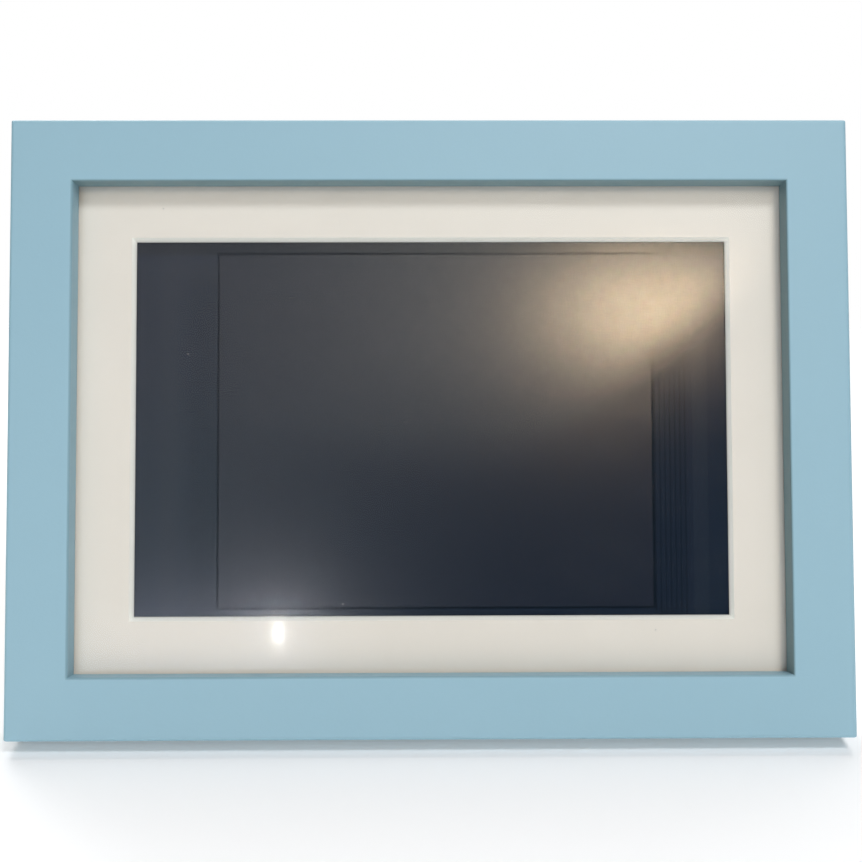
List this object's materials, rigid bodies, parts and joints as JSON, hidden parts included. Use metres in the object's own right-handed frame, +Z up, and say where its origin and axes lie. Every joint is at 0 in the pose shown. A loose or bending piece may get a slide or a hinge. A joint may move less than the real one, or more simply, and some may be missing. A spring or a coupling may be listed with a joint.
{
  "type": "digital photo frame",
  "caption": "Landscape digital photo frame: mitred painted moulding, glazed mat round an LCD, rear electronics cover and a folding easel leg.",
  "frame": {"origin": "middle of the footprint box, on the table the frame stands on", "axes": "+X to the viewer's right along the frame's width, -Y towards the viewer, +Z up from the table; the face leans back 15 degrees"},
  "size_m": [0.308, 0.1006, 0.2245],
  "materials": {
    "frame_paint": "satin light blue paint over fibreboard",
    "plated_steel": "bright zinc plate",
    "cover_glass": "clear polished",
    "mat_card": "cream card with a white core",
    "lcd_screen": "matt anti-glare, switched off",
    "black_foam": "foam",
    "optical_sheet": "white acrylic",
    "circuit_board": "green solder mask",
    "black_plastic": "fine moulded texture",
    "black_rubber": "matt",
    "flex_ribbon": "amber film",
    "cable_sleeve": "soft sleeve",
    "capacitor_can": "satin"
  },
  "bodies": {
    "frame": {"antenna_cable": "cable_sleeve", "backlight_tray": "plated_steel", "board_capacitors": "capacitor_can", "board_chips": "black_plastic", "board_screws": "plated_steel", "bottom_rail": "frame_paint", "bracket_screws": "plated_steel", "clip_screws": "plated_steel", "corner_v_nails": "plated_steel", "cover_glass": "cover_glass", "diffuser_sheets": "optical_sheet", "lcd_bezel": "plated_steel", "lcd_carrier": "black_plastic", "lcd_connector": "black_plastic", "lcd_driver_board": "circuit_board", "lcd_flex": "flex_ribbon", "lcd_gasket": "black_foam", "lcd_panel": "lcd_screen", "led_strip": "circuit_board", "left_rail": "frame_paint", "light_guide": "optical_sheet", "main_board": "circuit_board", "mat_board": "mat_card", "power_jack": "black_plastic", "power_jack_pin": "plated_steel", "power_switch": "black_plastic", "processor_shield": "plated_steel", "rear_cover": "black_plastic", "rear_cover_screws": "plated_steel", "reflector_sheet": "optical_sheet", "retaining_clips": "plated_steel", "right_rail": "frame_paint", "sd_card_socket": "plated_steel", "speaker_leads": "cable_sleeve", "speaker_left": "black_plastic", "speaker_right": "black_plastic", "stand_bracket": "plated_steel", "stand_hinge_pin": "plated_steel", "top_rail": "frame_paint", "usb_port": "plated_steel", "usb_port_tongue": "black_plastic", "wifi_antenna": "circuit_board", "wifi_module": "plated_steel"},
    "stand_leg": {"stand_leg": "black_plastic", "stand_foot": "black_rubber"},
    "power_button": {"power_button": "black_plastic", "switch_plunger": "black_plastic"}
  },
  "joints": [
    {"name": "stand_hinge", "type": "hinge", "parent": "frame", "child": "stand_leg", "pos_m": [0, 0.01347, 0.13717], "axis": [1, 0, 0], "range_deg": [-29, 0]},
    {"name": "power_button_press", "type": "slide", "parent": "frame", "child": "power_button", "axis": [-1, 0, 0], "range_m": [0, 0.0006], "stiffness_N_per_m": 400}
  ]
}
